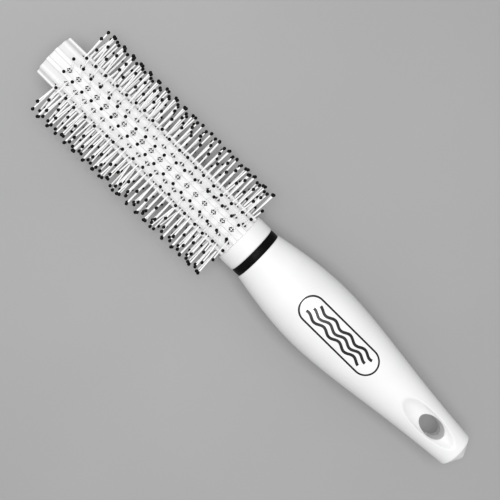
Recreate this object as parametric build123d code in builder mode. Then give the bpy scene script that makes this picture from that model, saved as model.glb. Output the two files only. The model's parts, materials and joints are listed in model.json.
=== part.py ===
from build123d import *
from math import acos, atan, cos, degrees, radians, sin, sqrt, tan
import os

# Round barrel brush. X runs from the tip of the barrel (-X) to the end of the handle (+X), +Z points out of
# one face of the hang hole, and the origin is on the axis, halfway along. Lengths along the brush are given
# from the tip and turned into X by at().

LENGTH = 230.0

BARREL_LENGTH = 101.6
BARREL_TIP_RADIUS = 9.7
BARREL_REAR_RADIUS = 10.38
BARREL_EDGE_ROUND = 0.5
FLUTE_WIDTH = 3.3
FLUTE_DEPTH = 0.8
FLUTE_OVERRUN = 1.0

ROWS = 12
TUFTS = 19
TUFT_PITCH = 4.84
FIRST_TUFT = 9.6
HOLE_RADIUS = 1.1
HOLE_FLOOR = 6.8

ANCHOR_LENGTH = 1.9
ANCHOR_THICKNESS = 0.2
ANCHOR_HEIGHT = 1.5

BRISTLE_RADIUS = 0.28
BRISTLE_FOOT = 7.55
BRISTLE_FOOT_ACROSS = 0.415
BRISTLE_LEAN = 10.4
BALL_RADIUS = 0.63
BALL_CENTRE = 21.8

SPINDLE_RADIUS = 4.0
SPINDLE_END = 176.0
SPINDLE_CHAMFER = 0.6
PLUG_RADIUS = 5.5
PLUG_LENGTH = 4.0
PLUG_CHAMFER = 0.3
SPIGOT_RADIUS = 8.2
SPIGOT_END = 124.0

COLLAR_END = 109.0
COLLAR_RADIUS = 11.2
COLLAR_CROWN = 0.12
COLLAR_FRONT_ROUND = 0.3
COLLAR_REAR_ROUND = 0.9

RING_END = 112.4
RING_RADIUS = 11.0
RING_CROWN = 0.15
RING_ROUND = 0.3

# (distance from the tip, radius) of the handle's outline, from its front edge to just before its rear rim
HANDLE_OUTLINE = [(RING_END, 11.5), (129.0, 14.35), (147.0, 15.6), (165.2, 14.5), (192.7, 11.15)]
HANDLE_FRONT_SLOPE = 0.2
HANDLE_REAR_SLOPE = -0.075
HANDLE_FRONT_ROUND = 0.4
RIM_RADIUS = 7.9
RIM_ROUND = 0.9
END_CONE_SLOPE = 33.0
APEX_ROUND = 3.0
BUSH_RADIUS = 7.2
CAVITY_END = 178.0

HANG_HOLE_CENTRE = 210.3
HANG_HOLE_LENGTH = 12.4
HANG_HOLE_WIDTH = 7.8
HANG_HOLE_ROUND = 0.4
SCOOP_CENTRE = 209.1
SCOOP_FLOOR = 5.0
SCOOP_SECTION_RADIUS = 5.4
SCOOP_SWEEP_RADIUS = 24.1


def at(distance):
    """The X of a place that is this far from the tip of the barrel."""
    return distance - LENGTH / 2


def radial_plane(distance, row, radius):
    """A plane across a row's direction: local X runs along the brush, local Z straight out from the axis."""
    turn = radians(row * 360 / ROWS)
    out = Vector(0, sin(turn), cos(turn))
    return Plane(origin=out * radius + Vector(at(distance), 0, 0), x_dir=(1, 0, 0), z_dir=out)


def tuft_places(row, radius):
    """Where a row's tufts stand, at this radius. Every second row is shifted by half the pitch."""
    first = FIRST_TUFT + row % 2 * TUFT_PITCH / 2
    return [radial_plane(first + tuft * TUFT_PITCH, row, radius).location for tuft in range(TUFTS)]


def ring(start, end, radius, crown, front_round, rear_round):
    """A ring on the barrel's spigot whose outer face bulges by crown."""
    with BuildPart() as made:
        with BuildSketch(Plane.XY) as section:
            with BuildLine():
                Polyline(
                    (at(start), radius),
                    (at(start), SPIGOT_RADIUS),
                    (at(end), SPIGOT_RADIUS),
                    (at(end), radius),
                )
                ThreePointArc((at(end), radius), (at((start + end) / 2), radius + crown), (at(start), radius))
            make_face()
            outer = section.vertices().sort_by(Axis.Y)[-2:].sort_by(Axis.X)
            fillet(outer[0], front_round)
            outer = section.vertices().group_by(Axis.X)[-1].sort_by(Axis.Y)
            fillet(outer[-1], rear_round)
        revolve(axis=Axis.X)
    return made


def save(made, name):
    made.part.label = name
    export_step(made.part, f"parts/{name}.step")


os.makedirs("parts", exist_ok=True)

# Barrel: a slightly tapered moulding with a flat-bottomed flute for each row, a spigot behind it that carries
# the collar and the neck ring into the handle, a bore for the spindle and a blind hole for each tuft.
BARREL_TAPER = degrees(atan((BARREL_REAR_RADIUS - BARREL_TIP_RADIUS) / BARREL_LENGTH))
with BuildPart() as barrel:
    with BuildSketch(Plane.XY) as barrel_section:
        with BuildLine():
            Polyline(
                (at(0), PLUG_RADIUS),
                (at(0), BARREL_TIP_RADIUS),
                (at(BARREL_LENGTH), BARREL_REAR_RADIUS),
                (at(BARREL_LENGTH), SPIGOT_RADIUS),
                (at(SPIGOT_END), SPIGOT_RADIUS),
                (at(SPIGOT_END), SPINDLE_RADIUS),
                (at(PLUG_LENGTH), SPINDLE_RADIUS),
                (at(PLUG_LENGTH), PLUG_RADIUS),
                close=True,
            )
        make_face()
        tip_corners = barrel_section.vertices().group_by(Axis.X)[0].sort_by(Axis.Y)
        fillet(tip_corners[-1], BARREL_EDGE_ROUND)
    revolve(axis=Axis.X)
    along_the_taper = Location((0, 0, 0), (0, -BARREL_TAPER, 0))
    flute_floor = BARREL_TIP_RADIUS - FLUTE_DEPTH
    flute_starts = [radial_plane(0, row, flute_floor).location * along_the_taper for row in range(ROWS)]
    with Locations(*flute_starts):
        with Locations((-FLUTE_OVERRUN, 0, 0)):
            Box(
                BARREL_LENGTH + 2 * FLUTE_OVERRUN,
                FLUTE_WIDTH,
                BARREL_REAR_RADIUS,
                align=(Align.MIN, Align.CENTER, Align.MIN),
                mode=Mode.SUBTRACT,
            )
    with Locations(*[place for row in range(ROWS) for place in tuft_places(row, HOLE_FLOOR)]):
        Cylinder(
            HOLE_RADIUS,
            BARREL_REAR_RADIUS - HOLE_FLOOR,
            align=(Align.CENTER, Align.CENTER, Align.MIN),
            mode=Mode.SUBTRACT,
        )
save(barrel, "barrel")

# Tip plug: closes the bore in the tip of the barrel, flush with its end.
with BuildPart() as tip_plug:
    with BuildSketch(Plane.YZ.offset(at(0))):
        Circle(PLUG_RADIUS)
    extrude(amount=PLUG_LENGTH)
    chamfer(tip_plug.faces().sort_by(Axis.X)[0].edges(), PLUG_CHAMFER)
save(tip_plug, "tip_plug")

# Core spindle: the rod that carries the barrel, from the tip plug through to the middle of the handle.
with BuildPart() as core_spindle:
    with BuildSketch(Plane.YZ.offset(at(PLUG_LENGTH))):
        Circle(SPINDLE_RADIUS)
    extrude(amount=SPINDLE_END - PLUG_LENGTH)
    chamfer(core_spindle.faces().filter_by(Axis.X).edges(), SPINDLE_CHAMFER)
save(core_spindle, "core_spindle")

# Collar and neck ring: both sit on the spigot, between the fluted barrel and the handle.
collar = ring(BARREL_LENGTH, COLLAR_END, COLLAR_RADIUS, COLLAR_CROWN, COLLAR_FRONT_ROUND, COLLAR_REAR_ROUND)
save(collar, "collar")
neck_ring = ring(COLLAR_END, RING_END, RING_RADIUS, RING_CROWN, RING_ROUND, RING_ROUND)
save(neck_ring, "neck_ring")

# Handle: turned outline with a blunt cone at its end, hollow in front for the spigot and the bush, and solid
# round the hang hole, where both faces are scooped out.
cone = radians(END_CONE_SLOPE)
apex_centre = LENGTH - APEX_ROUND
cone_end = (apex_centre + APEX_ROUND * cos(cone), APEX_ROUND * sin(cone))
rim = (cone_end[0] - (RIM_RADIUS - cone_end[1]) * tan(cone), RIM_RADIUS)
with BuildPart() as handle_shell:
    with BuildSketch(Plane.XY) as handle_section:
        with BuildLine():
            Spline(
                *[(at(distance), radius) for distance, radius in HANDLE_OUTLINE + [rim]],
                tangents=[(1, HANDLE_FRONT_SLOPE), (1, HANDLE_REAR_SLOPE)],
            )
            Line((at(rim[0]), rim[1]), (at(cone_end[0]), cone_end[1]))
            CenterArc((at(apex_centre), 0), APEX_ROUND, 0, END_CONE_SLOPE)
            Polyline(
                (at(LENGTH), 0),
                (at(CAVITY_END), 0),
                (at(CAVITY_END), BUSH_RADIUS),
                (at(SPIGOT_END), BUSH_RADIUS),
                (at(SPIGOT_END), SPIGOT_RADIUS),
                (at(RING_END), SPIGOT_RADIUS),
                (at(RING_END), HANDLE_OUTLINE[0][1]),
            )
        make_face()
        fillet(handle_section.vertices().sort_by_distance((at(rim[0]), rim[1]))[0], RIM_ROUND)
        fillet(handle_section.vertices().group_by(Axis.X)[0].sort_by(Axis.Y)[-1], HANDLE_FRONT_ROUND)
    revolve(axis=Axis.X)
    scoop_height = SCOOP_FLOOR + SCOOP_SWEEP_RADIUS
    with Locations(
        Plane(origin=(at(SCOOP_CENTRE), 0, scoop_height), x_dir=(0, 0, 1), z_dir=(0, 1, 0)),
        Plane(origin=(at(SCOOP_CENTRE), 0, -scoop_height), x_dir=(0, 0, -1), z_dir=(0, 1, 0)),
    ):
        Torus(SCOOP_SWEEP_RADIUS - SCOOP_SECTION_RADIUS, SCOOP_SECTION_RADIUS, mode=Mode.SUBTRACT)
    with BuildSketch(Plane.XY):
        with Locations((at(HANG_HOLE_CENTRE), 0)):
            Ellipse(HANG_HOLE_LENGTH / 2, HANG_HOLE_WIDTH / 2)
    extrude(amount=HANDLE_OUTLINE[-1][1], both=True, mode=Mode.SUBTRACT)
    fillet(handle_shell.edges(Select.NEW), HANG_HOLE_ROUND)
save(handle_shell, "handle_shell")

# Handle bush: fills the hollow of the handle behind the spigot and grips the spindle.
with BuildPart() as handle_bush:
    with BuildSketch(Plane.YZ.offset(at(SPIGOT_END))):
        Circle(BUSH_RADIUS)
        Circle(SPINDLE_RADIUS, mode=Mode.SUBTRACT)
    extrude(amount=CAVITY_END - SPIGOT_END)
save(handle_bush, "handle_bush")

# Tufts: a flat anchor stands on the floor of each hole, and a bristle with a ball on its end leans out on
# each side of it.
ball_along_bristle = (BALL_CENTRE - BRISTLE_FOOT) / cos(radians(BRISTLE_LEAN))
ball_seat = sqrt(BALL_RADIUS**2 - BRISTLE_RADIUS**2)
from_foot = (Align.CENTER, Align.CENTER, Align.MIN)
foot_in_hole = [
    Location((0, side * BRISTLE_FOOT_ACROSS, 0), (-side * BRISTLE_LEAN, 0, 0)) for side in (-1, 1)
]
for row in range(ROWS):
    feet = [tuft * foot for tuft in tuft_places(row, BRISTLE_FOOT) for foot in foot_in_hole]

    with BuildPart() as anchors:
        with Locations(*tuft_places(row, HOLE_FLOOR)):
            Box(ANCHOR_LENGTH, ANCHOR_THICKNESS, ANCHOR_HEIGHT, align=from_foot)
    save(anchors, f"tuft_anchors_{row + 1:02}")

    with BuildPart() as bristles:
        with Locations(*feet):
            Cylinder(BRISTLE_RADIUS, ball_along_bristle - ball_seat, align=from_foot)
    save(bristles, f"bristles_{row + 1:02}")

    with BuildPart() as balls:
        with Locations(*[foot * Location((0, 0, ball_along_bristle)) for foot in feet]):
            Sphere(BALL_RADIUS, arc_size1=-degrees(acos(BRISTLE_RADIUS / BALL_RADIUS)), align=None)
    save(balls, f"ball_tips_{row + 1:02}")
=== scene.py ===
import json
import math

import bmesh
import bpy
import numpy as np
from mathutils import Matrix, Vector


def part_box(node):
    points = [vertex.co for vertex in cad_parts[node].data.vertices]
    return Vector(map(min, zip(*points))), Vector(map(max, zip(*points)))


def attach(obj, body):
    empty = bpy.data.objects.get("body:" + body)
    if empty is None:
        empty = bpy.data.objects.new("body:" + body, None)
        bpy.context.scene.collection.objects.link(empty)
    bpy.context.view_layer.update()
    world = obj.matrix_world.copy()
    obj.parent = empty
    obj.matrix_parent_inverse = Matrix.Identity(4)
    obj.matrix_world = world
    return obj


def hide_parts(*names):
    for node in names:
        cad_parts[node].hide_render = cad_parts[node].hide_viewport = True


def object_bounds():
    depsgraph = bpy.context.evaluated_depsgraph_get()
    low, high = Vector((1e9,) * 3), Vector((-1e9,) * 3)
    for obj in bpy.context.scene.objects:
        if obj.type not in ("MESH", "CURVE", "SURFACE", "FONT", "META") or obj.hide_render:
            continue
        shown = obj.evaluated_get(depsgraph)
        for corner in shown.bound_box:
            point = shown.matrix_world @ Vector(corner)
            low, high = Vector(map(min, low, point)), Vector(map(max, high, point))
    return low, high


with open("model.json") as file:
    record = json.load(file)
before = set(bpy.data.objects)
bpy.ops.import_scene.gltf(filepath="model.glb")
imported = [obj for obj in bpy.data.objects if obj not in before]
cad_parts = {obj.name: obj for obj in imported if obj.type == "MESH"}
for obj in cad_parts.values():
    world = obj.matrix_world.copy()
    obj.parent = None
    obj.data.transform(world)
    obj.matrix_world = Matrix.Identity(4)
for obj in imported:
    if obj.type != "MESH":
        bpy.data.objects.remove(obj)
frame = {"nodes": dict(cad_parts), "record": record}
cad_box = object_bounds()

# Round barrel brush. +X runs from the barrel's tip to the end of the handle, and +Z points out of one face of
# the hang hole. Sizes are in millimetres, and places along the brush are measured from the barrel's tip.
MM = 0.001
TIP_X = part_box("barrel")[0].x / MM
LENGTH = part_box("handle_shell")[1].x / MM - TIP_X
COLLAR_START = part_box("collar")[0].x / MM - TIP_X
HANDLE_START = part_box("handle_shell")[0].x / MM - TIP_X
SPIGOT_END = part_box("barrel")[1].x / MM - TIP_X

# Barrel
BARREL_TIP_RADIUS = 9.7
BARREL_REAR_RADIUS = 10.38
BARREL_EDGE_ROUND = 0.5
FLUTE_WIDTH = 3.3
FLUTE_DEPTH = 0.8
FLUTE_CORNER = 0.18
FLUTE_DRAFT = 0.22
RIB_ROUND = 0.28
SPIGOT_RADIUS = 8.2
SPINDLE_RADIUS = 4.0
PLUG_RADIUS = 5.5
PLUG_LENGTH = 4.0

# Rows of tufts, and the slotted holes that hold them
ROWS = 12
TUFTS = 19
TUFT_PITCH = 4.84
FIRST_TUFT = 9.6
HOLE_RADIUS = 0.98
HOLE_LIP = 0.07
HOLE_FLOOR = 6.8
SLOT_REACH = 1.24
SLOT_HALF_WIDTH = 0.18

# Flat wire anchors; bottom and top are heights over the brush's axis
ANCHOR_REACH = 1.21
ANCHOR_HALF_THICKNESS = 0.15
ANCHOR_BOTTOM = 7.42
ANCHOR_TOP = 8.5
ANCHOR_CORNER = 0.06
ANCHOR_DENT = 0.1
ANCHOR_DENT_REACH = 0.45

# Folded filaments; heights are over the brush's axis
BRISTLE_RADIUS = 0.29
FOLD_RADIUS = 0.44
FOLD_HEIGHT = 7.55
FOLD_BULGE = 0.02
MOUTH_ACROSS = 0.65

# Balls. Their turn from the middle of the row is in degrees. The smallest ball, the neck's reach and the
# filament's seat are shares of the ball's radius, and the neck's flare and growth are over the filament's width.
BALL_RADIUS = 0.7
BALL_SMALLEST = 0.95
BALL_CENTRE = 21.7
BALL_TURN = 7.8
NECK_REACH = 1.3
NECK_FLARE = 1.3
NECK_GROWTH = 1.03
SEAT_DEPTH = 0.5

# How far filaments stray; turns are in degrees, and BENT_SHARE of them are bent by BENT_LEAN
ROW_TURN_SPREAD = 0.8
TURN_DRIFT = 2.6
TURN_SPREAD = 0.7
DRIFT_WAVES = (60, 150)
LENGTH_LOSS = 0.3
SWAY = 0.35
LEAN = 0.1
LEAN_SPREAD = 0.28
BENT_SHARE = 0.03
BENT_LEAN = 1.6
BOW = 0.06
BOW_SPREAD = 0.08
BOW_SWAY = 0.06

# Handle: (place, radius) points of its turned outline up to the rim of its blunt end
HANDLE_OUTLINE = [(HANDLE_START, 11.5), (129.0, 14.35), (147.0, 15.6), (165.2, 14.5), (192.7, 11.15)]
HANDLE_FRONT_SLOPE = 0.2
HANDLE_REAR_SLOPE = -0.075
HANDLE_FRONT_ROUND = 0.4
RIM_RADIUS = 7.9
RIM_ROUND = 0.9
END_CONE_SLOPE = math.radians(33.0)
APEX_ROUND = 3.0
BUSH_RADIUS = 7.2
CAVITY_END = 178.0

# Hang hole, and the scoop round it in each face
HANG_HOLE_CENTRE = 210.3
HANG_HOLE_LENGTH = 12.4
HANG_HOLE_WIDTH = 7.8
HANG_HOLE_ROUND = 0.4
HANG_HOLE_DRAFT = 0.45
SCOOP_CENTRE = 209.1
SCOOP_FLOOR = 5.0
SCOOP_SECTION_RADIUS = 5.4
SCOOP_SWEEP_RADIUS = 24.1
SCOOP_BLEND = 0.6
SCOOP_NARROWING = 0.16
SCOOP_DIP = 0.05

# Printed mark: a frame line with round ends and three strands, raised by MARK_PROUD
MARK_CENTRE = 155.8
MARK_LENGTH = 40.5
MARK_WIDTH = 10.8
MARK_LINE = 0.72
MARK_PROUD = 0.03
MARK_SUNK = 0.06
STRAND_LINE = 1.15
STRAND_LENGTH = 30.0
STRAND_SPACING = 2.5
STRAND_STAGGER = 1.4
STRAND_SWING = 0.7
STRAND_WAVES = 3.6
STRAND_PHASE = 0.5

# Camera; angles are in degrees, and the lens is for Blender's standard sensor
CAMERA_TILT = 5.03
CAMERA_ROLL = 44.55
CAMERA_AIM = (-6.55, -0.56, 0.0)
CAMERA_DISTANCE = 460.8
CAMERA_LENS = 83.088

# Stage, in metres
FLOOR_SIZE = 6

random = np.random.default_rng(52011)


# Camera and stage


def make_camera():
    """A long lens over the brush, tilted along it and turned so that the brush lies on a diagonal."""
    tilt = math.radians(CAMERA_TILT)
    roll = math.radians(CAMERA_ROLL)
    away = Vector((-math.sin(tilt), 0, math.cos(tilt)))
    along = Vector((math.cos(tilt), 0, math.sin(tilt)))
    across = Vector((0, 1, 0))
    right = along * math.cos(roll) + across * math.sin(roll)
    up = across * math.cos(roll) - along * math.sin(roll)
    place = Matrix((right, up, away)).transposed().to_4x4()
    place.translation = Vector(CAMERA_AIM) * MM + away * (CAMERA_DISTANCE * MM)
    data = bpy.data.cameras.new("camera")
    data.lens = CAMERA_LENS
    camera = bpy.data.objects.new("camera", data)
    camera.matrix_world = place
    bpy.context.scene.collection.objects.link(camera)
    bpy.context.scene.camera = camera


def make_area_light(name, place, target, size, energy, reflected=True):
    """A round soft light; its place, target and size are in metres."""
    data = bpy.data.lights.new(name, "AREA")
    data.shape = "DISK"
    data.size = size
    data.energy = energy
    light = bpy.data.objects.new(name, data)
    light.location = place
    light.rotation_euler = (Vector(target) - Vector(place)).to_track_quat("-Z", "Y").to_euler()
    light.visible_glossy = reflected
    bpy.context.scene.collection.objects.link(light)


def make_world(strength):
    world = bpy.data.worlds.new("studio")
    world.use_nodes = True
    background = world.node_tree.nodes["Background"]
    background.inputs["Color"].default_value = (1.0, 1.0, 1.0, 1.0)
    background.inputs["Strength"].default_value = strength
    bpy.context.scene.world = world


# Materials: nearly all noise lies in one range, and what runs along the brush has fewer features along X

NOISE_RANGE = (0.3, 0.7)
FLOW = (0.25, 1.0, 1.0)
FINE_FLOW = (0.3, 1.0, 1.0)
DRAWN = (0.1, 1.0, 1.0)


class Shader:
    """A Principled material whose colour, roughness and relief come from procedural textures."""

    def __init__(self, name, roughness, **values):
        self.material = bpy.data.materials.new(name)
        self.material.use_nodes = True
        self.tree = self.material.node_tree
        self.bsdf = self.tree.nodes["Principled BSDF"]
        self.bsdf.inputs["Roughness"].default_value = roughness
        for socket, value in values.items():
            self.bsdf.inputs[socket.replace("_", " ")].default_value = value
        self.coordinates = self.tree.nodes.new("ShaderNodeTexCoord").outputs["Object"]

    def add(self, kind, **sockets):
        node = self.tree.nodes.new(kind)
        for socket, value in sockets.items():
            target = node.inputs[socket.replace("_", " ")]
            if isinstance(value, bpy.types.NodeSocket):
                self.tree.links.new(value, target)
            else:
                target.default_value = value
        return node

    def noise(self, scale, detail=3.0, stretch=(1.0, 1.0, 1.0)):
        """Noise with this many features to the metre, times the stretch along X, Y and Z."""
        mapping = self.add("ShaderNodeMapping", Vector=self.coordinates, Scale=stretch)
        texture = self.add("ShaderNodeTexNoise", Vector=mapping.outputs[0], Scale=scale, Detail=detail)
        return texture.outputs["Fac"]

    def colour(self, value, first, second):
        """Base colour that goes from first to second with value."""
        ramp = self.add("ShaderNodeValToRGB", Fac=value)
        for element, position, colour in zip(ramp.color_ramp.elements, NOISE_RANGE, (first, second)):
            element.position = position
            element.color = (*colour, 1.0)
        self.tree.links.new(ramp.outputs["Color"], self.bsdf.inputs["Base Color"])

    def roughness(self, value, low, high):
        """Roughness that goes from low to high with value."""
        node = self.add("ShaderNodeMapRange", Value=value)
        for socket, amount in zip(("From Min", "From Max", "To Min", "To Max"), (*NOISE_RANGE, low, high)):
            node.inputs[socket].default_value = amount
        self.tree.links.new(node.outputs["Result"], self.bsdf.inputs["Roughness"])

    def relief(self, value, height, strength=1.0):
        """Surface relief of this height in metres."""
        bump = self.add("ShaderNodeBump", Height=value, Distance=height, Strength=strength)
        self.tree.links.new(bump.outputs["Normal"], self.bsdf.inputs["Normal"])


def polished_white():
    """The handle: glossy moulded plastic with a faint orange peel."""
    shader = Shader("polished_white", roughness=0.2, IOR=1.49, Coat_Weight=0.25, Coat_Roughness=0.08)
    shader.colour(shader.noise(60.0), (0.86, 0.86, 0.865), (0.9, 0.9, 0.9))
    shader.roughness(shader.noise(900.0), 0.17, 0.26)
    shader.relief(shader.noise(700.0, detail=2.0), height=0.00003, strength=0.25)
    return shader.material


def moulded_white():
    """Barrel, collar and plug: semi-gloss plastic with flow lines along the brush."""
    shader = Shader("moulded_white", roughness=0.5, Specular_IOR_Level=0.15)
    shader.colour(shader.noise(90.0, detail=4.0, stretch=FLOW), (0.83, 0.83, 0.835), (0.87, 0.87, 0.87))
    shader.roughness(shader.noise(1200.0), 0.45, 0.6)
    shader.relief(shader.noise(900.0, detail=2.0, stretch=FINE_FLOW), height=0.00003, strength=0.3)
    return shader.material


def flute_painted_shade():
    """Flutes: the barrel's plastic, duller than the ribs because nothing rubs it; its darker colour is painted
    shade for the recessed flutes.
    """
    shader = Shader("flute_painted_shade", roughness=0.7, Specular_IOR_Level=0.1)
    # Painted shade: this colour is darker than the ribs' to stand for the shade in the flutes.
    shader.colour(shader.noise(110.0, detail=4.0, stretch=FLOW), (0.77, 0.77, 0.775), (0.82, 0.82, 0.82))
    shader.roughness(shader.noise(1200.0), 0.6, 0.8)
    shader.relief(shader.noise(900.0, detail=2.0, stretch=FINE_FLOW), height=0.00003, strength=0.3)
    return shader.material


def hole_painted_shade():
    """Tuft holes: the barrel's plastic, drilled rough, with the shade deep in the holes painted into its colour
    as dark grey.
    """
    shader = Shader("hole_painted_shade", roughness=0.8, IOR=1.3)
    # Painted shade: this dark grey stands for the shadow inside the tuft holes.
    shader.colour(shader.noise(1500.0), (0.15, 0.15, 0.15), (0.25, 0.25, 0.25))
    shader.roughness(shader.noise(2500.0), 0.7, 0.9)
    shader.relief(shader.noise(4000.0, detail=2.0), height=0.00002, strength=0.4)
    return shader.material


def black_rubber():
    """Neck ring: satin, with a fine grain."""
    shader = Shader("black_rubber", roughness=0.45, Specular_IOR_Level=0.1)
    shader.colour(shader.noise(500.0), (0.004, 0.004, 0.004), (0.009, 0.009, 0.009))
    shader.roughness(shader.noise(1500.0), 0.38, 0.55)
    shader.relief(shader.noise(4000.0), height=0.00002, strength=0.4)
    return shader.material


def white_nylon():
    """Drawn filament; a faint white emission is painted light that makes it glow as if it carried light along
    itself.
    """
    shader = Shader("white_nylon", roughness=0.3, IOR=1.53)
    # Painted light: the filament is no lamp, but this emission makes it glow so that its dimly lit sides read
    # bright.
    shader.bsdf.inputs["Emission Color"].default_value = (1.0, 1.0, 1.0, 1.0)
    shader.bsdf.inputs["Emission Strength"].default_value = 0.09
    shader.colour(shader.noise(700.0, detail=2.0), (0.93, 0.93, 0.935), (0.97, 0.97, 0.97))
    shader.roughness(shader.noise(2500.0), 0.2, 0.35)
    shader.relief(shader.noise(5000.0, detail=2.0), height=0.00001, strength=0.3)
    return shader.material


def black_resin():
    """Dipped ball tips: glossy, with a slightly uneven skin."""
    shader = Shader("black_resin", roughness=0.15, Specular_IOR_Level=0.2)
    shader.colour(shader.noise(1500.0), (0.003, 0.003, 0.003), (0.007, 0.007, 0.007))
    shader.roughness(shader.noise(3000.0), 0.12, 0.22)
    shader.relief(shader.noise(2500.0, detail=1.0), height=0.00003, strength=0.3)
    return shader.material


def print_ink():
    """Pad-printed ink: thin in places."""
    shader = Shader("print_ink", roughness=0.4)
    shader.colour(shader.noise(2500.0, detail=4.0), (0.006, 0.006, 0.006), (0.03, 0.03, 0.03))
    shader.roughness(shader.noise(1800.0), 0.3, 0.5)
    return shader.material


def anchor_steel():
    """Flat wire, streaked by drawing."""
    shader = Shader("anchor_steel", roughness=0.4, Metallic=1.0)
    shader.colour(shader.noise(2000.0), (0.8, 0.8, 0.8), (0.9, 0.9, 0.9))
    shader.roughness(shader.noise(3000.0, stretch=DRAWN), 0.32, 0.5)
    return shader.material


def inner_plastic():
    """Spindle and bush: unpolished plastic, off white."""
    shader = Shader("inner_plastic", roughness=0.5)
    shader.colour(shader.noise(150.0), (0.6, 0.6, 0.58), (0.68, 0.68, 0.66))
    shader.roughness(shader.noise(900.0), 0.42, 0.6)
    return shader.material


# Mesh helpers

SHARP_ANGLE = 50
ROUND_POINTS = 5


def make_piece(name, solid, material, replaced):
    """A smooth-shaded piece from a solid in millimetres; it stands for the CAD node named as replaced."""
    mesh = bpy.data.meshes.new(name)
    mesh.from_pydata((np.asarray(solid.points) * MM).tolist(), [], solid.faces)
    mesh.validate()
    shape = bmesh.new()
    shape.from_mesh(mesh)
    bmesh.ops.recalc_face_normals(shape, faces=shape.faces)
    shape.to_mesh(mesh)
    shape.free()
    mesh.shade_smooth()
    mesh.materials.append(material)
    piece = bpy.data.objects.new(name, mesh)
    bpy.context.scene.collection.objects.link(piece)
    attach(piece, "root")
    if replaced:
        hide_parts(replaced)
    return piece


def sharpen(piece):
    """Keeps the hard edges of a piece, whose gentler ones are shaded smooth."""
    piece.data.set_sharp_from_angle(angle=math.radians(SHARP_ANGLE))


def ring_points(distance, radius, count, shift=0.0):
    """A loop of points round the brush's axis, from +Z towards +Y."""
    turns = shift + np.arange(count) * 2 * np.pi / count
    x = np.full(count, TIP_X + distance)
    return np.stack([x, radius * np.sin(turns), radius * np.cos(turns)], axis=1)


def circle_round(axis, sides):
    """A unit circle of points square to an axis that doesn't run along the brush."""
    across = np.cross(axis, (1.0, 0.0, 0.0))
    across /= np.linalg.norm(across)
    beside = np.cross(axis, across)
    turns = np.arange(sides) * 2 * np.pi / sides
    return np.outer(np.cos(turns), across) + np.outer(np.sin(turns), beside)


class Solid:
    """Points and faces that are gathered before a piece is made; a loop is a list of point numbers."""

    def __init__(self):
        self.points = []
        self.faces = []

    def add(self, points):
        start = len(self.points)
        self.points.extend(points)
        return list(range(start, len(self.points)))

    def join(self, first, second, columns=None):
        """Faces between two loops of the same length, all round or in some columns."""
        count = len(first)
        for i in range(count) if columns is None else columns:
            beside = (i + 1) % count
            self.faces.append((first[i], first[beside], second[beside], second[i]))

    def skin(self, loops):
        for first, second in zip(loops, loops[1:]):
            self.join(first, second)

    def rod(self, loops):
        """A skin that is closed by a face at each end."""
        self.skin(loops)
        self.faces += [tuple(reversed(loops[0])), tuple(loops[-1])]

    def fan(self, loop, centre):
        middle = self.add([centre])[0]
        self.faces.extend((loop[i], loop[(i + 1) % len(loop)], middle) for i in range(len(loop)))

    def revolve(self, loop, outline, inward, shift=0.0):
        """Goes on from a loop with rings through (place, radius) points; returns the last ring."""
        for distance, radius in outline:
            ring = self.add(list(ring_points(distance, radius, len(loop), shift)))
            self.join(*((ring, loop) if inward else (loop, ring)))
            loop = ring
        return loop


def block_border(block):
    """The loop round a block that is given as rows of point numbers."""
    border = block[0] + [line[-1] for line in block[1:-1]]
    return border + block[-1][::-1] + [line[0] for line in reversed(block[1:-1])]


def row_frame(row):
    """Directions across and out of a row of tufts."""
    turn = row * 2 * math.pi / ROWS
    side = np.array([0.0, math.cos(turn), -math.sin(turn)])
    out = np.array([0.0, math.sin(turn), math.cos(turn)])
    return side, out


def tuft_distance(row, tuft):
    """Place of a tuft along the brush; every second row is shifted by half a pitch."""
    return FIRST_TUFT + (tuft + row % 2 / 2) * TUFT_PITCH


# Barrel: twelve flutes with rounded corners, with a real hole for every tuft. Its section has a sector of
# points for every row, and a sector's flute lies between two of its columns.

STEPS_PER_PITCH = 8
FLOOR_STEPS = 6
SECTOR_POINTS = 14 + FLOOR_STEPS
FLUTE_COLUMNS = (3, 8 + FLOOR_STEPS)
STATIONS_BEFORE_TUFTS = 4
HOLE_ARC_POINTS = 11
LIP_SHARE = 0.3


def sector_outline(rib_radius, floor_radius):
    """Half a rib, a flute and half a rib, as (across, out) points; the last one is the middle of a rib."""
    half = FLUTE_WIDTH / 2
    foot = half - FLUTE_DRAFT
    flat = foot - FLUTE_CORNER
    arc_inset = 1 - math.sqrt(0.5)
    corner_inset = FLUTE_CORNER * arc_inset
    round_inset = RIB_ROUND * arc_inset
    wall_top = math.sqrt(rib_radius**2 - half**2)
    edge = half + RIB_ROUND
    edge_turn = math.asin(edge / rib_radius)
    rib_turn = math.pi / ROWS
    middle_turn = (edge_turn + rib_turn) / 2
    side = [
        (foot - corner_inset, floor_radius + corner_inset),
        (foot, floor_radius + FLUTE_CORNER),
        (half, wall_top - RIB_ROUND),
        (half + round_inset, wall_top - round_inset),
        (edge, math.sqrt(rib_radius**2 - edge**2)),
        (rib_radius * math.sin(middle_turn), rib_radius * math.cos(middle_turn)),
    ]
    floor = [(across, floor_radius) for across in np.linspace(-flat, flat, FLOOR_STEPS + 1)]
    rib = (rib_radius * math.sin(rib_turn), rib_radius * math.cos(rib_turn))
    return [(-across, out) for across, out in reversed(side)] + floor + side + [rib]


def rib_radius_at(distance):
    share = distance / COLLAR_START
    return BARREL_TIP_RADIUS + (BARREL_REAR_RADIUS - BARREL_TIP_RADIUS) * share


def barrel_loop(distance, inset):
    """The barrel's section at a place, drawn in by the inset."""
    rib_radius = rib_radius_at(distance)
    outline = sector_outline(rib_radius - inset, rib_radius - FLUTE_DEPTH - inset)
    loop = []
    for row in range(ROWS):
        side, out = row_frame(row)
        loop += [side * across + out * height + (TIP_X + distance, 0, 0) for across, height in outline]
    return loop


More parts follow.
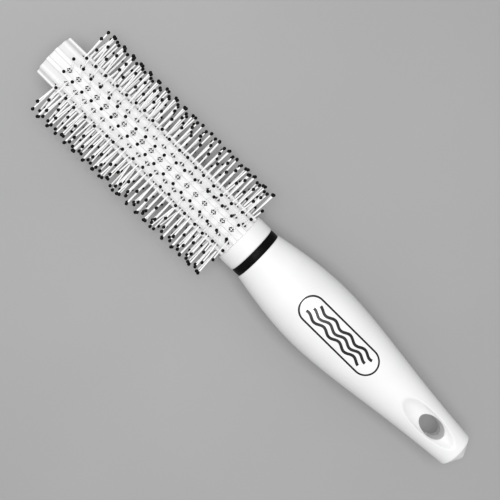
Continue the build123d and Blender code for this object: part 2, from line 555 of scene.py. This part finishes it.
def hole_outline(grow):
    """A hole with the slots that its anchor cuts, as (along, across) points from the slot nearer the tip."""
    radius = HOLE_RADIUS + grow
    half = SLOT_HALF_WIDTH + grow
    reach = SLOT_REACH + grow
    corner = math.asin(half / radius)
    turns = np.linspace(math.pi - corner, corner, HOLE_ARC_POINTS)
    arc = [(radius * math.cos(turn), radius * math.sin(turn)) for turn in turns]
    side = [(-reach, half)] + arc + [(reach, half)]
    return [(-reach, 0.0)] + side + [(reach, 0.0)] + [(-along, -across) for along, across in side]


def add_tuft_hole(solid, block, row, distance):
    """Fills a block of a flute's floor round a blind hole; returns the faces round it and those in it."""
    side, out = row_frame(row)
    border = block_border(block)
    border = border[FLOOR_STEPS // 2 :] + border[: FLOOR_STEPS // 2]
    centre = np.array([TIP_X + distance, 0, 0])
    floor = rib_radius_at(distance) - FLUTE_DEPTH
    loops = [border]
    for grow, drop in (
        (HOLE_LIP, 0.0),
        (HOLE_LIP * LIP_SHARE, HOLE_LIP * LIP_SHARE),
        (0.0, HOLE_LIP),
        (0.0, floor - HOLE_FLOOR),
    ):
        up = out * (floor - drop)
        loops.append(
            solid.add([centre + (along, 0, 0) + side * across + up for along, across in hole_outline(grow)])
        )
    first_face = len(solid.faces)
    solid.skin(loops[:-1])
    wall_face = len(solid.faces)
    solid.join(loops[-2], loops[-1])
    solid.fan(loops[-1], centre + out * HOLE_FLOOR)
    return range(first_face, wall_face), range(wall_face, len(solid.faces))


def make_barrel(rib_material, flute_shade_material, hole_shade_material):
    """The fluted outside with its holes, the spigot behind it, and the bore."""
    solid = Solid()
    stations = [
        (BARREL_EDGE_ROUND * (1 - math.cos(turn)), BARREL_EDGE_ROUND * (1 - math.sin(turn)))
        for turn in np.linspace(0, math.pi / 2, ROUND_POINTS)
    ]
    first_block = FIRST_TUFT - TUFT_PITCH / 2
    before_tufts = np.linspace(BARREL_EDGE_ROUND, first_block, STATIONS_BEFORE_TUFTS + 2)[1:-1]
    stations += [(distance, 0.0) for distance in before_tufts]
    first_station = len(stations)
    steps = int(STEPS_PER_PITCH * (TUFTS + 0.5))
    stations += [(first_block + step * TUFT_PITCH / STEPS_PER_PITCH, 0.0) for step in range(steps + 1)]
    stations.append((COLLAR_START, 0.0))
    loops = [solid.add(barrel_loop(distance, inset)) for distance, inset in stations]

    flute_faces, hole_faces, holed = [], [], set()
    floor_start = (SECTOR_POINTS - FLOOR_STEPS - 1) // 2
    for row in range(ROWS):
        column = row * SECTOR_POINTS + floor_start
        shift = row % 2 * STEPS_PER_PITCH // 2
        for tuft in range(TUFTS):
            start = first_station + shift + tuft * STEPS_PER_PITCH
            lines = loops[start : start + STEPS_PER_PITCH + 1]
            block = [line[column : column + FLOOR_STEPS + 1] for line in lines]
            around, inside = add_tuft_hole(solid, block, row, tuft_distance(row, tuft))
            flute_faces += around
            hole_faces += inside
            for step in range(STEPS_PER_PITCH):
                holed.update((start + step, column + across) for across in range(FLOOR_STEPS))

    count = len(loops[0])
    for station, (near, far) in enumerate(zip(loops, loops[1:])):
        for column in range(count):
            if (station, column) not in holed:
                if FLUTE_COLUMNS[0] <= column % SECTOR_POINTS <= FLUTE_COLUMNS[1]:
                    flute_faces.append(len(solid.faces))
                solid.join(near, far, [column])

    inner = [
        (0.0, PLUG_RADIUS),
        (PLUG_LENGTH, PLUG_RADIUS),
        (PLUG_LENGTH, SPINDLE_RADIUS),
        (SPIGOT_END, SPINDLE_RADIUS),
        (SPIGOT_END, SPIGOT_RADIUS),
        (COLLAR_START, SPIGOT_RADIUS),
    ]
    shift = -(floor_start + FLOOR_STEPS // 2) * 2 * math.pi / count
    solid.join(loops[-1], solid.revolve(loops[0], inner, inward=True, shift=shift))

    piece = make_piece("fluted_barrel", solid, rib_material, "barrel")
    # The flute faces and the hole faces get materials whose darker colours are painted shade.
    for material, numbers in ((flute_shade_material, flute_faces), (hole_shade_material, hole_faces)):
        piece.data.materials.append(material)
        for number in numbers:
            piece.data.polygons[number].material_index = len(piece.data.materials) - 1
    sharpen(piece)


# Handle: a turned outline with a scoop in each face, round a drafted oval hole. The body is meshed in rings,
# but for a patch of each face that is meshed round the hole.

TURNS = 240
BODY_STEP = 0.6
PATCH_STEPS = 26
PATCH_START = 200.6
PATCH_END = 219.6
PATCH_RINGS = 16
LIP_POINTS = 6
HOLE_WALL_SHARES = (0.94, 0.04)
RIM_POINTS = 7
RIM_REACH = 0.7
CONE_SHARES = (0.35, 0.7)
JUST_INSIDE = 1 - 1e-9
OUT_OF_REACH = 99.0

HOLE_HALF_SIZE = np.array([HANG_HOLE_LENGTH, HANG_HOLE_WIDTH]) / 2
CONE_END = (
    LENGTH - APEX_ROUND * (1 - math.cos(END_CONE_SLOPE)),
    APEX_ROUND * math.sin(END_CONE_SLOPE),
)
RIM = CONE_END[0] - (RIM_RADIUS - CONE_END[1]) * math.tan(END_CONE_SLOPE)


def spline_through(knots, first_slope, last_slope):
    """The smooth cubic through the knots, with these slopes at its ends."""
    x, y = np.array(knots).T
    step = np.diff(x)
    rise = np.diff(y) / step
    count = len(x)
    matrix = np.zeros((count, count))
    right = np.zeros(count)
    matrix[0, 0] = matrix[-1, -1] = 1.0
    right[0], right[-1] = first_slope, last_slope
    for i in range(1, count - 1):
        matrix[i, i - 1 : i + 2] = step[i], 2 * (step[i - 1] + step[i]), step[i - 1]
        right[i] = 3 * (step[i] * rise[i - 1] + step[i - 1] * rise[i])
    slope = np.linalg.solve(matrix, right)

    def value(at):
        i = np.clip(np.searchsorted(x, at) - 1, 0, count - 2)
        share = (at - x[i]) / step[i]
        cubic = slope[i] + slope[i + 1] - 2 * rise[i]
        square = 3 * rise[i] - 2 * slope[i] - slope[i + 1]
        return y[i] + (slope[i] + (cubic * share + square) * share) * share * step[i]

    return value


handle_radius = spline_through(HANDLE_OUTLINE + [(RIM, RIM_RADIUS)], HANDLE_FRONT_SLOPE, HANDLE_REAR_SLOPE)


def scoop_height(distance, across):
    """Height of a scoop's surface over the axis; out of reach beside the scoop."""
    behind = np.maximum(distance - HANG_HOLE_CENTRE, 0.0)
    section_radius = SCOOP_SECTION_RADIUS - SCOOP_NARROWING * behind
    tube = np.sqrt(np.maximum(section_radius**2 - across**2, 0))
    reach = SCOOP_SWEEP_RADIUS - section_radius + tube
    drop = np.sqrt(np.maximum(reach**2 - (distance - SCOOP_CENTRE) ** 2, 0))
    height = SCOOP_FLOOR + SCOOP_SWEEP_RADIUS - drop - SCOOP_DIP * behind
    return np.where((tube > 0) & (drop > 0), height, OUT_OF_REACH)


def face_height(distance, across):
    """Height of a face over the axis, with the rim of the scoop blended."""
    plain = np.sqrt(handle_radius(distance) ** 2 - across**2)
    scooped = scoop_height(distance, across)
    blend = np.maximum(SCOOP_BLEND - np.abs(plain - scooped), 0.0)
    return np.minimum(plain, scooped) - blend**2 / (4 * SCOOP_BLEND)


def handle_loop(distance):
    turns = np.arange(TURNS) * 2 * np.pi / TURNS
    across = handle_radius(distance) * np.sin(turns)
    height = face_height(distance, across * JUST_INSIDE) * np.sign(np.cos(turns))
    return list(np.stack([np.full(TURNS, TIP_X + distance), across, height], axis=1))


def handle_end(start):
    """Rounded rim, blunt cone and rounded apex, as (place, radius) points behind the start."""
    normals = np.linspace(math.pi / 2 + math.atan(HANDLE_REAR_SLOPE), END_CONE_SLOPE, RIM_POINTS)
    bisector = (normals[0] + normals[-1]) / 2
    to_centre = RIM_ROUND / math.cos((normals[0] - normals[-1]) / 2)
    centre = RIM - to_centre * math.cos(bisector)
    centre_radius = RIM_RADIUS - to_centre * math.sin(bisector)
    end = [
        (centre + RIM_ROUND * math.cos(turn), centre_radius + RIM_ROUND * math.sin(turn)) for turn in normals
    ]
    end = [point for point in end if point[0] > start]
    for share in CONE_SHARES:
        last = end[-1]
        end.append(tuple(a + (b - a) * share for a, b in zip(last, CONE_END)))
    for turn in np.linspace(END_CONE_SLOPE, 0, ROUND_POINTS)[:-1]:
        end.append((LENGTH - APEX_ROUND * (1 - math.cos(turn)), APEX_ROUND * math.sin(turn)))
    return end


def add_face_patch(solid, block, upright):
    """Fills a block of a face up to the hang hole's wall; returns the wall's loop and the unit oval."""
    border = block_border(block)
    edge = np.array([solid.points[number] for number in border])[:, :2] - (TIP_X + HANG_HOLE_CENTRE, 0)
    bearing = np.arctan2(edge[:, 1] / HANG_HOLE_WIDTH, edge[:, 0] / HANG_HOLE_LENGTH)
    oval = np.stack([np.cos(bearing), np.sin(bearing)], axis=1)
    lip = oval * (HOLE_HALF_SIZE + HANG_HOLE_ROUND)
    rings = [(edge + (lip - edge) * share, 0.0) for share in np.linspace(0, 1, PATCH_RINGS + 1)[1:]]
    for turn in np.linspace(0, math.pi / 2, LIP_POINTS)[1:]:
        inset = HANG_HOLE_ROUND * (1 - math.sin(turn))
        rings.append((oval * (HOLE_HALF_SIZE + inset), HANG_HOLE_ROUND * (1 - math.cos(turn))))
    loops = [border]
    for place, drop in rings:
        height = face_height(HANG_HOLE_CENTRE + place[:, 0], place[:, 1]) - drop
        x = TIP_X + HANG_HOLE_CENTRE + place[:, 0]
        loops.append(solid.add(list(np.stack([x, place[:, 1], height * upright], axis=1))))
    solid.skin(loops)
    return loops[-1], oval


def add_hang_hole(solid, walls, oval):
    """Drafted walls from both faces to the hole's waist; the rings between keep its edge crisp."""
    place = oval * (HOLE_HALF_SIZE - HANG_HOLE_DRAFT) + (TIP_X + HANG_HOLE_CENTRE, 0)
    waist = np.column_stack([place, np.zeros(len(place))])
    middle = solid.add(list(waist))
    for wall in walls:
        outer = np.array([solid.points[number] for number in wall])
        rings = [solid.add(list(waist + (outer - waist) * share)) for share in HOLE_WALL_SHARES]
        solid.skin([wall, *rings, middle])


def make_handle(material):
    """The outside, the socket and hollow in its front, and the hang hole through the scoops."""
    solid = Solid()
    body_start = HANDLE_START + HANDLE_FRONT_ROUND
    body_end = RIM - RIM_ROUND * RIM_REACH
    before = np.arange(body_start, PATCH_START, BODY_STEP)
    inside = np.arange(PATCH_START, PATCH_END, BODY_STEP)
    after = np.arange(PATCH_END, body_end, BODY_STEP)
    stations = np.concatenate([before, inside, after[after < body_end - BODY_STEP / 2], [body_end]])
    first, last = len(before), len(before) + len(inside)
    loops = [solid.add(handle_loop(distance)) for distance in stations]
    half_round = TURNS // 2
    beside_patches = [i for i in range(TURNS) if (i + PATCH_STEPS) % half_round >= 2 * PATCH_STEPS]
    for station, (near, far) in enumerate(zip(loops, loops[1:])):
        solid.join(near, far, beside_patches if first <= station < last else None)

    front_radius = handle_radius(body_start)
    front = [
        (
            HANDLE_START + HANDLE_FRONT_ROUND * (1 - math.sin(turn)),
            front_radius - HANDLE_FRONT_ROUND * (1 - math.cos(turn)),
        )
        for turn in np.linspace(0, math.pi / 2, ROUND_POINTS)[1:]
    ]
    hollow = [
        (HANDLE_START, SPIGOT_RADIUS),
        (SPIGOT_END, SPIGOT_RADIUS),
        (SPIGOT_END, BUSH_RADIUS),
        (CAVITY_END, BUSH_RADIUS),
    ]
    bottom = solid.revolve(loops[0], front + hollow, inward=True)
    solid.fan(bottom[::-1], np.array([TIP_X + CAVITY_END, 0, 0]))
    apex = solid.revolve(loops[-1], handle_end(body_end), inward=False)
    solid.fan(apex, np.array([TIP_X + LENGTH, 0, 0]))

    walls = []
    for middle, upright in ((0, 1), (half_round, -1)):
        reach = range(-PATCH_STEPS, PATCH_STEPS + 1)
        columns = [(middle + upright * step) % TURNS for step in reach]
        block = [[loop[column] for column in columns] for loop in loops[first : last + 1]]
        wall, oval = add_face_patch(solid, block, upright)
        walls.append(wall)
    add_hang_hole(solid, walls, oval)
    sharpen(make_piece("handle", solid, material, "handle_shell"))


# Printed mark on the handle: three strands of hair in a frame with round ends

FRAME_END_POINTS = 25
FRAME_SIDE_POINTS = 21
STRAND_POINTS = 97


def add_ribbon(solid, path, width, closed):
    """A printed line along (place, across) points on the handle's upper face."""
    path = np.array(path)
    if closed:
        ahead = np.roll(path, -1, axis=0) - np.roll(path, 1, axis=0)
    else:
        ahead = np.gradient(path, axis=0)
    ahead /= np.linalg.norm(ahead, axis=1)[:, None]
    beside = np.column_stack([-ahead[:, 1], ahead[:, 0]])
    loops = []
    for edge, lift in ((-1, -MARK_SUNK), (1, -MARK_SUNK), (1, MARK_PROUD), (-1, MARK_PROUD)):
        place = path + beside * edge * width / 2
        height = np.sqrt((handle_radius(place[:, 0]) + lift) ** 2 - place[:, 1] ** 2)
        loops.append(solid.add(list(np.column_stack([TIP_X + place[:, 0], place[:, 1], height]))))
    for first, second in zip(loops, loops[1:] + loops[:1]):
        solid.join(first, second, range(len(path) if closed else len(path) - 1))
    if not closed:
        solid.faces.append(tuple(loop[0] for loop in loops))
        solid.faces.append(tuple(loop[-1] for loop in reversed(loops)))


def make_mark(material):
    """Closed frame line and three wavy strands."""
    solid = Solid()
    radius = MARK_WIDTH / 2
    straight = MARK_LENGTH / 2 - radius
    frame_line = []
    for end in (1, -1):
        middle = MARK_CENTRE + end * straight
        for turn in np.linspace(-math.pi / 2, math.pi / 2, FRAME_END_POINTS):
            frame_line.append((middle + end * radius * math.cos(turn), end * radius * math.sin(turn)))
        for share in np.linspace(0, 1, FRAME_SIDE_POINTS)[1:-1]:
            frame_line.append((middle - end * 2 * straight * share, end * radius))
    add_ribbon(solid, frame_line, MARK_LINE, closed=True)
    share = np.linspace(-0.5, 0.5, STRAND_POINTS)
    for strand in (-1, 0, 1):
        along = MARK_CENTRE + STRAND_LENGTH * share + strand * STRAND_STAGGER
        wave = np.sin(share * STRAND_WAVES * 2 * math.pi + strand * STRAND_PHASE)
        across = strand * STRAND_SPACING + STRAND_SWING * wave
        add_ribbon(solid, np.column_stack([along, across]), STRAND_LINE, closed=False)
    sharpen(make_piece("printed_mark", solid, material, None))


# Tufts: in each hole one filament is folded round the anchor, and both its ends carry a ball

TUBE_SIDES = 10
LEG_POINTS = 9
FOLD_POINTS = 9
BALL_SIDES = 16
BALL_STATIONS = 10
BALL_END_TURN = 0.2
DENT_STATION = 0.2


def add_tube(solid, path, radius):
    """A round tube along a path of points, closed at both ends."""
    ahead = np.gradient(np.array(path), axis=0)
    ahead /= np.linalg.norm(ahead, axis=1)[:, None]
    solid.rod([
        solid.add(list(place + circle_round(axis, TUBE_SIDES) * radius)) for place, axis in zip(path, ahead)
    ])


def add_ball(solid, centre, axis, radius):
    """A dipped ball with a short neck drawn out along the filament."""
    circle = circle_round(axis, BALL_SIDES)
    neck_turn = math.asin(BRISTLE_RADIUS / radius) * NECK_FLARE
    neck = centre - axis * radius * NECK_REACH
    loops = [solid.add(list(neck + circle * BRISTLE_RADIUS * NECK_GROWTH))]
    for turn in np.linspace(neck_turn, math.pi - BALL_END_TURN, BALL_STATIONS):
        middle = centre - axis * radius * math.cos(turn)
        loops.append(solid.add(list(middle + circle * radius * math.sin(turn))))
    solid.skin(loops)
    solid.faces.append(tuple(reversed(loops[0])))
    solid.fan(loops[-1], centre + axis * radius)


def anchor_section(along, inset):
    """An anchor's section at a place along it, as (across, up) points; its top is dented by the filament."""
    half = ANCHOR_HALF_THICKNESS - inset
    dent = ANCHOR_DENT * max(1 - (along / ANCHOR_DENT_REACH) ** 2, 0)
    top = ANCHOR_TOP - inset - dent
    bottom = ANCHOR_BOTTOM + inset
    corner = ANCHOR_CORNER
    return [
        (half, bottom + corner),
        (half, top - corner),
        (half - corner, top),
        (corner - half, top),
        (-half, top - corner),
        (-half, bottom + corner),
        (corner - half, bottom),
        (half - corner, bottom),
    ]


def make_anchors(row, material):
    """Flat wire anchors, each cut into the wall of its hole over the fold of the filament."""
    side, out = row_frame(row)
    solid = Solid()
    half = [
        (ANCHOR_REACH, ANCHOR_CORNER),
        (ANCHOR_REACH - ANCHOR_CORNER, 0.0),
        (ANCHOR_DENT_REACH, 0.0),
        (DENT_STATION, 0.0),
    ]
    stations = [(-along, inset) for along, inset in half] + [(0.0, 0.0)] + half[::-1]
    for tuft in range(TUFTS):
        base = np.array([TIP_X + tuft_distance(row, tuft), 0, 0])
        loops = []
        for along, inset in stations:
            section = anchor_section(along, inset)
            loops.append(
                solid.add([base + (along, 0, 0) + side * across + out * up for across, up in section])
            )
        solid.rod(loops)
    number = f"{row + 1:02}"
    sharpen(make_piece(f"anchor_row_{number}", solid, material, f"tuft_anchors_{number}"))


def make_tufts(row, nylon, resin):
    """Filaments and balls of a row; their leans drift along it, and each strays a little by itself."""
    side, out = row_frame(row)
    bristles, balls = Solid(), Solid()
    phases = random.uniform(0, 2 * math.pi, 2)
    waves = random.uniform(*DRIFT_WAVES, 2)
    row_turn = BALL_TURN + random.normal(0, ROW_TURN_SPREAD)
    sway_phases = random.uniform(0, 2 * math.pi, 2)
    for tuft in range(TUFTS):
        distance = tuft_distance(row, tuft)
        base = np.array([TIP_X + distance, 0, 0])
        mouth_height = rib_radius_at(distance) - FLUTE_DEPTH
        legs = []
        for end, edge in enumerate((-1, 1)):
            drift = TURN_DRIFT * math.sin(phases[end] + 2 * math.pi * distance / waves[end])
            turn = math.radians(edge * row_turn + drift + random.normal(0, TURN_SPREAD))
            height = BALL_CENTRE - random.uniform(0, LENGTH_LOSS)
            sway = SWAY * math.sin(sway_phases[end] + 2 * math.pi * distance / waves[1 - end])
            bent = BENT_LEAN if random.random() < BENT_SHARE else 0.0
            along = LEAN + sway + random.normal(0, LEAN_SPREAD) + random.choice((-1, 1)) * bent
            centre = base + (along, 0, 0) + side * height * math.tan(turn) + out * height
            mouth = base + side * edge * MOUTH_ACROSS + out * mouth_height
            axis = (centre - mouth) / np.linalg.norm(centre - mouth)
            bow = side * edge * random.normal(BOW, BOW_SPREAD) + (random.normal(0, BOW_SWAY), 0, 0)
            seat = centre - axis * BALL_RADIUS * SEAT_DEPTH
            shares = np.linspace(1, 0, LEG_POINTS)
            leg = [mouth + (seat - mouth) * share + bow * 4 * share * (1 - share) for share in shares]
            fold_start = base + side * edge * FOLD_RADIUS + out * FOLD_HEIGHT
            leg.append((leg[-1] + fold_start) / 2 + side * edge * FOLD_BULGE)
            legs.append(leg)
            add_ball(balls, centre, axis, BALL_RADIUS * random.uniform(BALL_SMALLEST, 1.0))
        fold = [
            base - side * FOLD_RADIUS * math.cos(turn) + out * (FOLD_HEIGHT - FOLD_RADIUS * math.sin(turn))
            for turn in np.linspace(0, math.pi, FOLD_POINTS)
        ]
        add_tube(bristles, legs[0] + fold + legs[1][::-1], BRISTLE_RADIUS)
    number = f"{row + 1:02}"
    make_piece(f"bristle_row_{number}", bristles, nylon, f"bristles_{number}")
    make_piece(f"ball_row_{number}", balls, resin, f"ball_tips_{number}")


make_camera()
bpy.context.scene.view_settings.view_transform = "Standard"
bpy.context.scene.view_settings.look = "Medium High Contrast"

materials = {
    "white_handle": polished_white(),
    "white_barrel": moulded_white(),
    "black_rubber": black_rubber(),
    "white_nylon": white_nylon(),
    "black_resin": black_resin(),
    "anchor_metal": anchor_steel(),
    "inner_plastic": inner_plastic(),
}
for subpart in frame["record"]["subparts"]:
    node = frame["nodes"][subpart["node"]]
    node.data.materials.clear()
    node.data.materials.append(materials[subpart["material_slot"]])

make_barrel(materials["white_barrel"], flute_painted_shade(), hole_painted_shade())
make_handle(materials["white_handle"])
make_mark(print_ink())
for row in range(ROWS):
    make_anchors(row, materials["anchor_metal"])
    make_tufts(row, materials["white_nylon"], materials["black_resin"])

bpy.ops.mesh.primitive_plane_add(size=FLOOR_SIZE, location=(0, 0, cad_box[0][2]))
floor = bpy.context.object
floor.name = "floor"
floor_shader = Shader("pale_floor", roughness=0.6)
floor_shader.colour(floor_shader.noise(8.0), (0.37, 0.37, 0.37), (0.39, 0.39, 0.39))
floor.data.materials.append(floor_shader.material)

make_world(strength=0.42)
make_area_light("overhead", place=(-0.05, 0.0, 0.9), target=(0, 0, 0), size=0.45, energy=4.4)
make_area_light("end_fill", (0.55, 0.0, 0.12), (0.1, 0, 0), size=0.3, energy=0.18, reflected=False)
make_area_light("tip_fill", (-0.27, 0.0, 0.13), (-0.11, 0, 0), size=0.12, energy=0.05, reflected=False)
